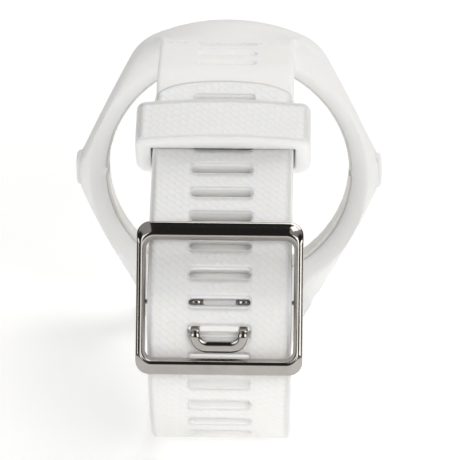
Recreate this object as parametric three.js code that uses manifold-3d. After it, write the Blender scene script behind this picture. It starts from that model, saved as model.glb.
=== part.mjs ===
// Buckled silicone wristband of a running watch, with an empty cradle ring.
// X runs across the strap, Y from the buckle to the cradle, Z is up; millimetres.
// The band stands as a closed loop on its lower run. The origin is the middle of
// the underside of its bounding box.

import * as THREE from 'three';
import { mergeVertices } from 'three/addons/utils/BufferGeometryUtils.js';
import Module from 'manifold-3d';

const wasm = await Module();
wasm.setup();

// ---------------------------------------------------------------- driving sizes

const GAP = 0.3;                    // clearance between pieces that touch

// loop, seen from the side
const FRONT_TO_BACK = 62;           // hinge kink of the outer strap to the outer face of the cradle
const TOP_RISE = 22.0;              // kink to the top run of the strap
const FRONT_BEND = 22;              // radius where the lower run turns up to the buckle
const BACK_BEND = 7;                // radius where the runs turn into the cradle
const LEAN_BELOW = 10;              // degrees, strap below the kink
const LEAN_ABOVE = 44;              // degrees, strap above the kink
const LEAN_KEEPER = 61.5;           // degrees, strap that carries the keeper
const LEAN_TOP = 88;                // degrees, top run
const KINK_TO_BAR = 13.5;           // kink to the bend under the upper bar of the frame
const TAIL_LENGTH = 40.2;           // kink to the rounded tip

// strap
const STRAP_WIDTH = 21.7;
const STRAP_THICK = 2.2;
const EDGE_BEVEL = 0.5;
const SLOT_PITCH = 4.5;
const SLOT_LENGTH = 9.5;
const SLOT_WIDTH = 1.4;
const SLOTS_ABOVE = 8;              // in the outer strap, above the kink
const SLOTS_BELOW = 6;              // in the outer strap, below the kink
const VENTS = 3;                    // slots near the cradle, in the buckle-side strap
const VENT_FIRST = 3.0;             // top bend to the first vent
const VENT_PITCH = 3.6;

// cradle
const OPENING_RADIUS = 20.2;
const RING_SIDE = 4.8;              // opening to the flat of an ear
const RING_RIM = 7.0;               // opening to the top and the bottom of the ring
const RING_DEPTH = 8.4;
const RING_CHAMFER = 2.4;
const RING_CROWN_FILLET = 10;       // between the sloping sides and the crown
const RING_FOOT_FILLET = 5;         // between the sloping sides and the flat foot
const EAR_FLAT = 4;                 // height of the upright flat at each side
const EAR_SLOPE = 0.48;             // inward run of the side for each millimetre up or down
const FUNNEL_WIDTH = 2.2;
const FUNNEL_DEPTH = 2.6;
const SHOULDER_TOP = 4.5;           // stub of the buckle-side strap in front of the ring
const FLARE_TOP = 1.4;              // how far each edge of that strap flares out to the ring
const SHOULDER_BOTTOM = 9;          // the same two sizes for the hole-side strap
const FLARE_BOTTOM = 3.4;
const INSERT_WALL = 1.2;
const INSERT_DEPTH = 3.2;

// button pads
const PAD_HEIGHT = 5.6;
const PAD_DEPTH = 3.6;
const PAD_PROUD = 0.7;
const PAD_SEAT = 1.2;
const STEM_RADIUS = 1.1;
const PAD_TRAVEL = 0.5;

// spring bar
const TUBE_RADIUS = 0.75;
const TUBE_BORE = 0.56;
const PIN_RADIUS = 0.36;
const PIN_REACH = 1.0;
const PIN_STAY = 2.4;
const PIN_HEAD = 0.46;
const PIN_HEAD_LENGTH = 0.6;
const PIN_TRAVEL = 0.9;
const FIT = 0.1;                    // radial clearance of a pin in its hole
const WIRE = 0.09;                  // radius of the spring's wire
const SPRING_TURNS = 10;

// buckle
const HUB_WALL = 0.85;
const KINK_EASE = 0.7;              // room between the hub and the bent strap above it
const FRAME_LEAN = 27;              // degrees
const FRAME_WALL = 1.4;             // side walls
const FRAME_UP = 12.1;              // hinge to the top of the frame
const FRAME_DOWN = 10.9;            // hinge to the bottom of the frame
const FRAME_THICK = 2.0;
const FRAME_SINK = 2.4;             // kink of the outer strap to the underside of the bars
const TOP_BAR = 2.8;
const BOTTOM_BAR = 2.5;
const FRAME_CORNER = 2.0;
const FRAME_ROUND = 0.6;
const LUG_DROP = 1.3;
const LUG_STEP = 2.4;
const TONGUE_WIDTH = 8.7;
const TONGUE_LEG = 1.5;
const TONGUE_THICK = 0.9;
const EYE_WALL = 0.55;
const TONGUE_REACH = 8.0;
const TONGUE_CROSS = 1.8;
const BAR_CLEAR = 0.2;              // tube in the hub and in the tongue's eyes

// keeper
const KEEPER_LENGTH = 8.4;
const KEEPER_FROM = 26.1;           // kink to its lower edge
const KEEPER_WALL = 2.4;
const KEEPER_BACK = 1.4;
const KEEPER_CROWN = 1.2;
const KEEPER_CORNER = 2.2;

// ---------------------------------------------------------------- materials

function finish(colour, roughness, metalness) {
  return new THREE.MeshStandardMaterial({ color: colour, roughness, metalness });
}

const silicone = finish(0xf1f0ec, 0.62, 0.0);
const hardPlastic = finish(0xe4e2dc, 0.4, 0.0);
const gunmetal = finish(0x55504c, 0.12, 1.0);
const steel = finish(0xb9b7b2, 0.3, 1.0);

// ---------------------------------------------------------------- plane geometry

const v2 = (x, y) => new THREE.Vector2(x, y);
const radians = THREE.MathUtils.degToRad;

// unit vector along the strap, going up, where it leans by so many degrees
const along = (lean) => v2(Math.sin(radians(lean)), Math.cos(radians(lean)));

// unit vector out of the strap's outer face at that lean
const outward = (lean) => v2(-Math.cos(radians(lean)), Math.sin(radians(lean)));

// where two lines meet, each given by a point and a direction
function meet(p, d, q, e) {
  const t = q.clone().sub(p).cross(e) / d.cross(e);
  return p.clone().addScaledVector(d, t);
}

// a path through corners whose bends are arcs: each sample has its place, its
// direction and its left normal
function filleted(corners, radii, stepAngle = 9) {
  const samples = [];
  const put = (at, heading) => {
    samples.push({ at, heading, left: v2(-heading.y, heading.x) });
  };
  const last = corners.length - 1;
  put(corners[0].clone(), corners[1].clone().sub(corners[0]).normalize());
  for (let i = 1; i < last; i++) {
    const before = corners[i].clone().sub(corners[i - 1]).normalize();
    const after = corners[i + 1].clone().sub(corners[i]).normalize();
    const turn = Math.atan2(before.cross(after), before.dot(after));
    const reach = radii[i - 1] * Math.tan(Math.abs(turn) / 2);
    const start = corners[i].clone().addScaledVector(before, -reach);
    const side = v2(-before.y, before.x).multiplyScalar(Math.sign(turn) * radii[i - 1]);
    const centre = start.clone().add(side);
    const steps = Math.max(2, Math.ceil(Math.abs(turn) / radians(stepAngle)));
    for (let k = 0; k <= steps; k++) {
      const angle = (turn * k) / steps;
      const at = start.clone().rotateAround(centre, angle);
      put(at, before.clone().rotateAround(v2(0, 0), angle));
    }
  }
  put(corners[last].clone(), corners[last].clone().sub(corners[last - 1]).normalize());
  return samples;
}

// a closed band between two offsets to the left of a path
function bandOutline(samples, from, to) {
  const near = samples.map((s) => s.at.clone().addScaledVector(s.left, from));
  const far = samples.map((s) => s.at.clone().addScaledVector(s.left, to)).reverse();
  return new THREE.Shape([...near, ...far]);
}

// a rectangle with rounded corners about the origin
function roundedRectangle(width, height, radius) {
  const x = width / 2;
  const y = height / 2;
  const shape = new THREE.Shape();
  shape.moveTo(x, y - radius);
  shape.absarc(x - radius, y - radius, radius, 0, Math.PI / 2);
  shape.absarc(-x + radius, y - radius, radius, Math.PI / 2, Math.PI);
  shape.absarc(-x + radius, -y + radius, radius, Math.PI, 1.5 * Math.PI);
  shape.absarc(x - radius, -y + radius, radius, 1.5 * Math.PI, 2 * Math.PI);
  return shape;
}

// ---------------------------------------------------------------- solids

function toManifold(geometry) {
  const bare = geometry.clone();
  bare.deleteAttribute('normal');
  bare.deleteAttribute('uv');
  const merged = mergeVertices(bare, 1e-5);
  return new wasm.Manifold(new wasm.Mesh({
    numProp: 3,
    vertProperties: new Float32Array(merged.attributes.position.array),
    triVerts: new Uint32Array(merged.index.array),
  }));
}

function toGeometry(solid) {
  const mesh = solid.getMesh();
  const geometry = new THREE.BufferGeometry();
  const position = new THREE.BufferAttribute(new Float32Array(mesh.vertProperties), 3);
  geometry.setAttribute('position', position);
  geometry.setIndex(new THREE.BufferAttribute(new Uint32Array(mesh.triVerts), 1));
  geometry.computeVertexNormals();
  return geometry;
}

const X = new THREE.Vector3(1, 0, 0);
const Y = new THREE.Vector3(0, 1, 0);
const Z = new THREE.Vector3(0, 0, 1);

// extrusion of a shape with an all-round bevel that stays inside the outline
function extrusion(shape, depth, bevel, curveSegments = 4) {
  const geometry = new THREE.ExtrudeGeometry(shape, {
    depth: depth - 2 * bevel,
    bevelEnabled: bevel > 0,
    bevelThickness: bevel,
    bevelSize: bevel,
    bevelOffset: -bevel,
    bevelSegments: bevel > 0.5 ? 3 : 1,
    curveSegments,
  });
  return geometry.translate(0, 0, bevel - depth / 2);
}

// a side view (Y, Z) drawn out across X, centred on x = 0
function acrossX(shape, width, bevel = 0) {
  const geometry = extrusion(shape, width, bevel);
  return toManifold(geometry.applyMatrix4(new THREE.Matrix4().makeBasis(Y, Z, X)));
}

// a front view (X, Z) drawn out along Y between two places
function alongY(shape, from, to, bevel = 0, curveSegments = 6) {
  const geometry = extrusion(shape, to - from, bevel, curveSegments);
  const turn = new THREE.Matrix4().makeBasis(X, Z, Y.clone().negate());
  return toManifold(geometry.applyMatrix4(turn).translate(0, (from + to) / 2, 0));
}

// a plan view (X, Y) drawn out up Z over the whole height of the band
function upZ(shape, curveSegments = 6) {
  return toManifold(extrusion(shape, 4 * BOTTOM_DROP, 0, curveSegments));
}

// a cylinder or cone whose axis is X
function rodX(radius, from, to, centre, segments = 20) {
  const geometry = new THREE.CylinderGeometry(radius, radius, to - from, segments);
  geometry.rotateZ(Math.PI / 2);
  return toManifold(geometry.translate((from + to) / 2, centre.x, centre.y));
}

// a solid of revolution about the cradle's axis, from (radius, y) points
function roundY(profile, segments = 60) {
  const geometry = new THREE.LatheGeometry(profile, segments);
  return toManifold(geometry.translate(0, 0, ringCentre));
}

// ---------------------------------------------------------------- sizes that follow

const RING_WIDTH = 2 * (OPENING_RADIUS + RING_SIDE);
const RING_RADIUS = OPENING_RADIUS + RING_RIM;
const FUNNEL_RADIUS = OPENING_RADIUS + FUNNEL_WIDTH;
const HUB_RADIUS = TUBE_RADIUS + BAR_CLEAR + HUB_WALL;
const TONGUE_EYE = TUBE_RADIUS + BAR_CLEAR + EYE_WALL;
const KINK_RADIUS = STRAP_THICK + GAP + HUB_RADIUS + KINK_EASE;

// how far a fillet at the kink pulls the strap in from the sharp corner
const cornerCut = (radius) => radius / Math.cos(radians((LEAN_ABOVE - LEAN_BELOW) / 2)) - radius;

// ---------------------------------------------------------------- the loop's lines

const kink = v2(0, 0);
const underBar = kink.clone().addScaledVector(along(LEAN_ABOVE), KINK_TO_BAR);
const tailTip = underBar.clone().addScaledVector(along(LEAN_KEEPER), TAIL_LENGTH - KINK_TO_BAR);

// line of the buckle-side strap's outer face: one thickness and a gap under the tail
const LAYER = STRAP_THICK + GAP;
const under = (p, lean) => p.clone().addScaledVector(outward(lean), -LAYER);
const underKink = meet(
  under(kink, LEAN_ABOVE), along(LEAN_ABOVE),
  under(kink, LEAN_BELOW), along(LEAN_BELOW),
);
const innerBarBend = meet(
  under(kink, LEAN_ABOVE), along(LEAN_ABOVE),
  under(underBar, LEAN_KEEPER), along(LEAN_KEEPER),
);
const topRun = v2(underBar.x + TAIL_LENGTH * 0.7, TOP_RISE);
const topBend = meet(
  under(underBar, LEAN_KEEPER), along(LEAN_KEEPER),
  topRun, along(LEAN_TOP),
);
const topAt = (y) => v2(y, topRun.y + (y - topRun.x) / Math.tan(radians(LEAN_TOP)));

// the ring fills the height between the two runs
const ringFar = FRONT_TO_BACK;
const ringNear = FRONT_TO_BACK - RING_DEPTH;
const ringCentre = topAt(ringFar - BACK_BEND).y - RING_RADIUS;
const BOTTOM_DROP = RING_RADIUS - ringCentre;
const lowerCorner = meet(kink, along(LEAN_BELOW), v2(0, -BOTTOM_DROP), v2(1, 0));
const topSeam = ringNear - SHOULDER_TOP;
const bottomSeam = ringNear - SHOULDER_BOTTOM;

// hinge axis of the buckle, under the kink
const HINGE_DEPTH = STRAP_THICK + GAP + HUB_RADIUS + cornerCut(KINK_RADIUS);
const hinge = kink.clone().addScaledVector(outward(FRAME_LEAN), -HINGE_DEPTH);

const FRAME_LIFT = HINGE_DEPTH - FRAME_SINK;

// a place in the buckle's own frame: up along it, and out of it
function onFrame(up, out) {
  return hinge.clone()
    .addScaledVector(along(FRAME_LEAN), up)
    .addScaledVector(outward(FRAME_LEAN), out);
}

// ---------------------------------------------------------------- slots

// a slot with round ends through a strap, at a place on its outer face
function slot(at, lean) {
  const outline = roundedRectangle(SLOT_LENGTH, SLOT_WIDTH, SLOT_WIDTH / 2 - 0.01);
  const geometry = extrusion(outline, 3 * STRAP_THICK, 0, 3);
  const up = along(lean);
  const out = outward(lean);
  const turn = new THREE.Matrix4().makeBasis(
    X,
    new THREE.Vector3(0, up.x, up.y),
    new THREE.Vector3(0, out.x, out.y),
  );
  geometry.applyMatrix4(turn);
  return toManifold(geometry.translate(0, at.x, at.y));
}

// the place and lean at a distance along the outer strap, up from the kink
function onTail(distance) {
  if (distance > KINK_TO_BAR + 0.01) {
    const beyond = distance - KINK_TO_BAR;
    return { at: underBar.clone().addScaledVector(along(LEAN_KEEPER), beyond), lean: LEAN_KEEPER };
  }
  if (distance > 0.01) {
    return { at: kink.clone().addScaledVector(along(LEAN_ABOVE), distance), lean: LEAN_ABOVE };
  }
  const straight = kink.distanceTo(lowerCorner) - FRONT_BEND * Math.tan(radians(45 + LEAN_BELOW / 2));
  if (-distance <= straight) {
    const lean = Math.abs(distance) < 0.01 ? (LEAN_ABOVE + LEAN_BELOW) / 2 : LEAN_BELOW;
    return { at: kink.clone().addScaledVector(along(LEAN_BELOW), distance), lean };
  }
  const lean = LEAN_BELOW - THREE.MathUtils.radToDeg((-distance - straight) / FRONT_BEND);
  const start = kink.clone().addScaledVector(along(LEAN_BELOW), -straight);
  const centre = start.clone().addScaledVector(outward(LEAN_BELOW), -FRONT_BEND);
  return { at: centre.addScaledVector(outward(lean), FRONT_BEND), lean };
}

// ---------------------------------------------------------------- hole-side strap

const BAR_RADIUS = 8;
const tailPath = filleted(
  [v2(bottomSeam - GAP, -BOTTOM_DROP), lowerCorner, kink, underBar, tailTip],
  [FRONT_BEND, KINK_RADIUS, BAR_RADIUS],
);

// the loop is walked from the cradle round to the tip, so its inside is on the right
function holeSideStrap() {
  const outline = bandOutline(tailPath, -STRAP_THICK, 0);
  let solid = acrossX(outline, STRAP_WIDTH, EDGE_BEVEL);
  const half = STRAP_WIDTH / 2;
  const tip = new THREE.Shape();
  tip.moveTo(-half, -tailTip.x);
  tip.lineTo(half, -tailTip.x);
  tip.lineTo(half, tailTip.x * 0.89);
  tip.bezierCurveTo(half, tailTip.x * 1.03, -half, tailTip.x * 1.03, -half, tailTip.x * 0.89);
  const rounded = upZ(tip, 10).add(toManifold(
    new THREE.BoxGeometry(STRAP_WIDTH, 2 * FRONT_TO_BACK, BOTTOM_DROP)
      .translate(0, FRONT_TO_BACK * 0.5, -BOTTOM_DROP * 0.6),
  ));
  solid = solid.intersect(rounded);
  for (let i = -SLOTS_BELOW; i <= SLOTS_ABOVE; i++) {
    const { at, lean } = onTail(i * SLOT_PITCH);
    solid = solid.subtract(slot(at, lean));
  }
  return solid;
}

// ---------------------------------------------------------------- buckle-side strap

const TOP_BEND_RADIUS = 12;

function buckleSideStrap() {
  const start = meet(under(kink, LEAN_ABOVE), along(LEAN_ABOVE), hinge, outward(LEAN_ABOVE));
  const path = filleted(
    [start, innerBarBend, topBend, topAt(topSeam - GAP)],
    [BAR_RADIUS, TOP_BEND_RADIUS],
  );
  let solid = acrossX(bandOutline(path, -STRAP_THICK, 0), STRAP_WIDTH, EDGE_BEVEL);
  solid = solid.add(rodX(HUB_RADIUS, -STRAP_WIDTH / 2, STRAP_WIDTH / 2, hinge));
  solid = solid.subtract(rodX(TUBE_RADIUS + BAR_CLEAR, -STRAP_WIDTH, STRAP_WIDTH, hinge));
  const notchWidth = TONGUE_LEG + 2 * GAP;
  const notchReach = TONGUE_EYE + GAP;
  for (const side of [-1, 1]) {
    const middle = side * (TONGUE_WIDTH - TONGUE_LEG) / 2;
    const notch = new THREE.BoxGeometry(notchWidth, 2 * notchReach, 4 * notchReach);
    notch.rotateX(radians(-LEAN_ABOVE));
    const shift = along(LEAN_ABOVE).multiplyScalar(-notchReach);
    solid = solid.subtract(toManifold(notch.translate(middle, hinge.x + shift.x, hinge.y + shift.y)));
    solid = solid.subtract(rodX(notchReach, middle - notchWidth / 2, middle + notchWidth / 2, hinge));
  }
  for (let i = 0; i < VENTS; i++) {
    const at = topBend.clone().addScaledVector(along(LEAN_TOP), VENT_FIRST + i * VENT_PITCH);
    solid = solid.subtract(slot(at, LEAN_TOP));
  }
  return solid;
}

// ---------------------------------------------------------------- cradle

// points of an arc, its first and last one among them
function arc(centre, radius, from, to, steps = 8) {
  const points = [];
  for (let i = 0; i <= steps; i++) {
    const angle = from + ((to - from) * i) / steps;
    points.push(v2(centre.x + radius * Math.cos(angle), centre.y + radius * Math.sin(angle)));
  }
  return points;
}

// front view of the ring, about its own centre: upright ears, sloping sides, a round
// crown and a flat foot, with a fillet at each end of the sides
function ringOutline(radius) {
  const ear = v2(RING_WIDTH / 2, EAR_FLAT / 2);
  const foot = v2(ear.x - EAR_SLOPE * (radius - ear.y), -radius);
  const up = v2(-EAR_SLOPE, 1).normalize();
  const inward = v2(-up.y, up.x);
  const depth = ear.dot(inward) + RING_CROWN_FILLET;
  const height = Math.sqrt((radius - RING_CROWN_FILLET) ** 2 - depth ** 2);
  const centre = inward.clone().multiplyScalar(depth).addScaledVector(up, height);
  const right = [
    ...filleted([v2(0, -radius), foot, v2(ear.x, -ear.y)], [RING_FOOT_FILLET]).map((s) => s.at),
    ear,
    ...arc(centre, RING_CROWN_FILLET, Math.atan(EAR_SLOPE), centre.angle(), 5),
    ...arc(v2(0, 0), radius, centre.angle(), Math.PI / 2).slice(1),
  ];
  const left = right.slice(1, -1).map((p) => v2(-p.x, p.y)).reverse();
  return new THREE.Shape([...right, ...left]);
}

// everything inside the loop's outer line, seen from the side
function sideEnvelope() {
  const corners = [
    v2(0, -BOTTOM_DROP),
    v2(ringFar, -BOTTOM_DROP),
    meet(v2(ringFar, 0), v2(0, 1), topRun, along(LEAN_TOP)),
    topAt(0),
  ];
  return new THREE.Shape(filleted(corners, [BACK_BEND, BACK_BEND]).map((s) => s.at));
}

// stub of a strap, as wide as the strap at its seam and flaring into the ring; it
// follows the ring's outline above (side 1) or below (side -1) the ring's centre
function shoulder(side, seam, flare) {
  const half = STRAP_WIDTH / 2;
  const wide = half + flare;
  const end = ringNear + RING_CHAMFER;
  const middle = (seam + ringNear) / 2;
  const plan = new THREE.Shape();
  plan.moveTo(half, seam);
  plan.bezierCurveTo(half, middle, wide, middle, wide, ringNear);
  plan.lineTo(wide, end);
  plan.lineTo(-wide, end);
  plan.lineTo(-wide, ringNear);
  plan.bezierCurveTo(-wide, middle, -half, middle, -half, seam);
  const skin = alongY(ringOutline(RING_RADIUS), seam, end)
    .subtract(alongY(ringOutline(RING_RADIUS - STRAP_THICK), seam - 1, end + 1));
  return skin.translate([0, 0, ringCentre])
    .intersect(upZ(plan).translate([0, 0, ringCentre + side * 2 * BOTTOM_DROP]));
}

const INSERT_OUTER = OPENING_RADIUS + INSERT_WALL;
const insertNear = ringNear + FUNNEL_DEPTH + GAP;
const padMiddle = (ringNear + RING_CHAMFER + ringFar - RING_CHAMFER) / 2;

// the pocket of a button pad with the hole of its stem, or the pad itself
function padSolid(side, play) {
  const outline = roundedRectangle(PAD_DEPTH + 2 * play, PAD_HEIGHT + 2 * play, 1.2 + play);
  const inner = RING_WIDTH / 2 - PAD_SEAT - (play ? PAD_TRAVEL + GAP : 0);
  const outer = RING_WIDTH / 2 + PAD_PROUD + (play ? 1 : 0);
  const cap = acrossX(outline, outer - inner, play ? 0 : 0.4);
  const stemEnd = play ? OPENING_RADIUS - 1 : OPENING_RADIUS + GAP;
  const stem = rodX(STEM_RADIUS + play, stemEnd, inner + 0.5, v2(0, 0), 20);
  let solid = cap.translate([(inner + outer) / 2, 0, 0]).add(stem);
  if (side < 0) solid = solid.mirror([1, 0, 0]);
  return solid.translate([0, padMiddle, ringCentre]);
}

function cradleRing() {
  let solid = alongY(ringOutline(RING_RADIUS), ringNear, ringFar, RING_CHAMFER)
    .translate([0, 0, ringCentre])
    .add(shoulder(1, topSeam, FLARE_TOP))
    .add(shoulder(-1, bottomSeam, FLARE_BOTTOM))
    .intersect(acrossX(sideEnvelope(), 2 * RING_WIDTH));
  solid = solid.subtract(roundY([
    v2(0, ringNear - 1),
    v2(FUNNEL_RADIUS + 0.8, ringNear - 1),
    v2(FUNNEL_RADIUS, ringNear),
    v2(OPENING_RADIUS, ringNear + FUNNEL_DEPTH),
    v2(OPENING_RADIUS, ringFar + 1),
    v2(0, ringFar + 1),
  ]));
  solid = solid.subtract(roundY([
    v2(0, insertNear - GAP),
    v2(INSERT_OUTER + GAP, insertNear - GAP),
    v2(INSERT_OUTER + GAP, ringFar + 1),
    v2(0, ringFar + 1),
  ]));
  for (const side of [-1, 1]) solid = solid.subtract(padSolid(side, GAP));
  return solid;
}

// stiff ring moulded into the cradle; the watch case sits on its outer rim
function retainingInsert() {
  let solid = roundY([
    v2(OPENING_RADIUS, insertNear),
    v2(INSERT_OUTER, insertNear),
    v2(INSERT_OUTER, insertNear + INSERT_DEPTH),
    v2(OPENING_RADIUS, insertNear + INSERT_DEPTH),
    v2(OPENING_RADIUS, insertNear),
  ]);
  for (const side of [-1, 1]) solid = solid.subtract(padSolid(side, GAP));
  return solid;
}

// ---------------------------------------------------------------- keeper

function keeperLoop() {
  const wide = STRAP_WIDTH + 2 * GAP + 2 * KEEPER_WALL;
  const inside = 2 * STRAP_THICK + 3 * GAP;
  const high = inside + KEEPER_WALL + KEEPER_BACK;
  const half = wide / 2;
  const low = -high + KEEPER_WALL + GAP;
  const edge = KEEPER_WALL + GAP - KEEPER_CROWN;
  const shape = new THREE.Shape();
  shape.moveTo(half, low + KEEPER_CORNER);
  shape.lineTo(half, edge - KEEPER_CORNER * 0.4);
  shape.quadraticCurveTo(half, edge + 0.1, half - KEEPER_CORNER, edge + 0.35);
  shape.quadraticCurveTo(half / 2, edge + KEEPER_CROWN, 0, edge + KEEPER_CROWN);
  shape.quadraticCurveTo(-half / 2, edge + KEEPER_CROWN, KEEPER_CORNER - half, edge + 0.35);
  shape.quadraticCurveTo(-half, edge + 0.1, -half, edge - KEEPER_CORNER * 0.4);
  shape.lineTo(-half, low + KEEPER_CORNER);
  shape.quadraticCurveTo(-half, low, KEEPER_CORNER - half, low);
  shape.lineTo(half - KEEPER_CORNER, low);
  shape.quadraticCurveTo(half, low, half, low + KEEPER_CORNER);
  const passage = new THREE.Path();
  const gapHalf = STRAP_WIDTH / 2 + GAP;
  const floor = low + KEEPER_BACK;
  passage.moveTo(gapHalf, GAP);
  passage.lineTo(-gapHalf, GAP);
  passage.lineTo(-gapHalf, floor);
  passage.lineTo(gapHalf, floor);
  passage.lineTo(gapHalf, GAP);
  shape.holes.push(passage);
  const geometry = extrusion(shape, KEEPER_LENGTH, 0.4, 6);
  const up = along(LEAN_KEEPER);
  const out = outward(LEAN_KEEPER);
  geometry.applyMatrix4(new THREE.Matrix4().makeBasis(
    X.clone().negate(),
    new THREE.Vector3(0, out.x, out.y),
    new THREE.Vector3(0, up.x, up.y),
  ));
  const { at } = onTail(KEEPER_FROM + KEEPER_LENGTH / 2);
  return toManifold(geometry.translate(0, at.x, at.y));
}

// ---------------------------------------------------------------- buckle

const FRAME_INNER = STRAP_WIDTH / 2 + GAP;
const FRAME_OUTER = FRAME_INNER + FRAME_WALL;

// a shape drawn in the buckle's own side view: first out of the frame, then up it
function frameSide(points) {
  return new THREE.Shape(points.map(([out, up]) => onFrame(up, out)).reverse());
}

function buckleFrame() {
  const outer = roundedRectangle(2 * FRAME_OUTER, FRAME_UP + FRAME_DOWN, FRAME_CORNER);
  const middle = (FRAME_UP - FRAME_DOWN) / 2;
  const windowTop = FRAME_UP - TOP_BAR - middle;
  const windowBottom = -FRAME_DOWN + BOTTOM_BAR - middle;
  const hole = new THREE.Path([
    v2(FRAME_INNER, windowTop), v2(-FRAME_INNER, windowTop),
    v2(-FRAME_INNER, windowBottom), v2(FRAME_INNER, windowBottom),
  ]);
  outer.holes.push(hole);
  const geometry = extrusion(outer, FRAME_THICK, FRAME_ROUND, 6);
  const up = along(FRAME_LEAN);
  const out = outward(FRAME_LEAN);
  geometry.applyMatrix4(new THREE.Matrix4().makeBasis(
    X,
    new THREE.Vector3(0, up.x, up.y),
    new THREE.Vector3(0, out.x, out.y),
  ));
  const at = onFrame(middle, FRAME_LIFT + FRAME_THICK / 2);
  let solid = toManifold(geometry.translate(0, at.x, at.y));
  const deep = FRAME_LIFT + FRAME_ROUND + 0.3;
  const lug = frameSide([
    [deep, FRAME_UP - TOP_BAR], [deep, -LUG_STEP], [-LUG_DROP, -LUG_STEP],
    [-LUG_DROP, LUG_DROP], [FRAME_LIFT, FRAME_UP - TOP_BAR],
  ]);
  for (const side of [-1, 1]) {
    const wall = acrossX(lug, FRAME_WALL, 0.2);
    solid = solid.add(wall.translate([side * (FRAME_INNER + FRAME_WALL / 2), 0, 0]));
  }
  for (const side of [-1, 1]) {
    const inner = side > 0 ? FRAME_INNER - 1 : -FRAME_INNER - PIN_REACH - FIT;
    const outerEnd = side > 0 ? FRAME_INNER + PIN_REACH + FIT : -FRAME_INNER + 1;
    solid = solid.subtract(rodX(PIN_RADIUS + FIT, inner, outerEnd, hinge));
  }
  return solid;
}

function buckleTongue() {
  const slotAt = onTail(-SLOT_PITCH);
  const through = outward(slotAt.lean);
  const mouthIn = slotAt.at.clone().addScaledVector(through, -STRAP_THICK - GAP);
  const mouthOut = slotAt.at.clone().addScaledVector(through, GAP + TONGUE_THICK / 2);
  const tipAt = onTail(-TONGUE_REACH + 0.3);
  const tip = tipAt.at.clone().addScaledVector(outward(tipAt.lean), GAP + TONGUE_THICK / 2);
  const root = onFrame(-TONGUE_EYE + 0.3, 0);
  const knee = meet(root, along(FRAME_LEAN), mouthIn, through);
  const path = filleted([root, knee, mouthOut, tip], [0.5, 0.5], 20);
  const half = TONGUE_THICK / 2;
  let solid = acrossX(bandOutline(path, -half, half), TONGUE_WIDTH, 0.2);
  solid = solid.add(rodX(TONGUE_EYE, -TONGUE_WIDTH / 2, TONGUE_WIDTH / 2, hinge));
  const down = tip.clone().sub(mouthOut).normalize();
  const cut = tip.clone().addScaledVector(down, -TONGUE_CROSS);
  const far = onFrame(2 * TONGUE_EYE, 2 * FRAME_THICK);
  const gapWidth = TONGUE_WIDTH - 2 * TONGUE_LEG;
  const back = 4 * FRAME_THICK;
  const window = new THREE.Shape([
    cut.clone().addScaledVector(outward(FRAME_LEAN), back),
    cut.clone().addScaledVector(outward(FRAME_LEAN), -back),
    far.clone().addScaledVector(outward(FRAME_LEAN), -2 * back),
    far.clone().addScaledVector(outward(FRAME_LEAN), back),
  ]);
  solid = solid.subtract(acrossX(window, gapWidth));
  return solid.subtract(rodX(TUBE_RADIUS + BAR_CLEAR, -TONGUE_WIDTH, TONGUE_WIDTH, hinge));
}

// ---------------------------------------------------------------- spring bar

const TUBE_HALF = STRAP_WIDTH / 2;
const TUBE_NECK = 0.5;
const pinHeadAt = FRAME_INNER + PIN_REACH - PIN_STAY - PIN_REACH;

function springBarTube() {
  const profile = [
    v2(TUBE_RADIUS, -TUBE_HALF),
    v2(TUBE_RADIUS, TUBE_HALF),
    v2(PIN_RADIUS + FIT / 2, TUBE_HALF),
    v2(PIN_RADIUS + FIT / 2, TUBE_HALF - TUBE_NECK),
    v2(TUBE_BORE, TUBE_HALF - TUBE_NECK),
    v2(TUBE_BORE, TUBE_NECK - TUBE_HALF),
    v2(PIN_RADIUS + FIT / 2, TUBE_NECK - TUBE_HALF),
    v2(PIN_RADIUS + FIT / 2, -TUBE_HALF),
    v2(TUBE_RADIUS, -TUBE_HALF),
  ];
  const geometry = new THREE.LatheGeometry(profile, 20);
  return toManifold(geometry.rotateZ(-Math.PI / 2).translate(0, hinge.x, hinge.y));
}

function springBarPin(side) {
  const end = FRAME_INNER + PIN_REACH;
  const shaft = rodX(PIN_RADIUS, pinHeadAt, end, hinge);
  const head = rodX(PIN_HEAD, pinHeadAt - PIN_HEAD_LENGTH, pinHeadAt + 0.05, hinge);
  const solid = shaft.add(head);
  return side > 0 ? solid : solid.mirror([1, 0, 0]);
}

function springBarSpring() {
  const half = pinHeadAt - PIN_HEAD_LENGTH - FIT;
  const radius = TUBE_BORE - WIRE - FIT / 2;
  const points = [];
  const steps = SPRING_TURNS * 8;
  for (let i = 0; i <= steps; i++) {
    const angle = (2 * Math.PI * i) / 8;
    const x = -half + WIRE + ((2 * half - 2 * WIRE) * i) / steps;
    points.push(new THREE.Vector3(
      x,
      hinge.x + radius * Math.cos(angle),
      hinge.y + radius * Math.sin(angle),
    ));
  }
  const wire = new THREE.Shape();
  wire.absarc(0, 0, WIRE, 0, 2 * Math.PI);
  const geometry = new THREE.ExtrudeGeometry(wire, {
    steps,
    curveSegments: 3,
    bevelEnabled: false,
    extrudePath: new THREE.CatmullRomCurve3(points),
  });
  return toManifold(geometry);
}

// ---------------------------------------------------------------- assembly

const group = new THREE.Group();

function place(name, solid, material) {
  const mesh = new THREE.Mesh(toGeometry(solid), material);
  mesh.name = name;
  group.add(mesh);
}

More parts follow.
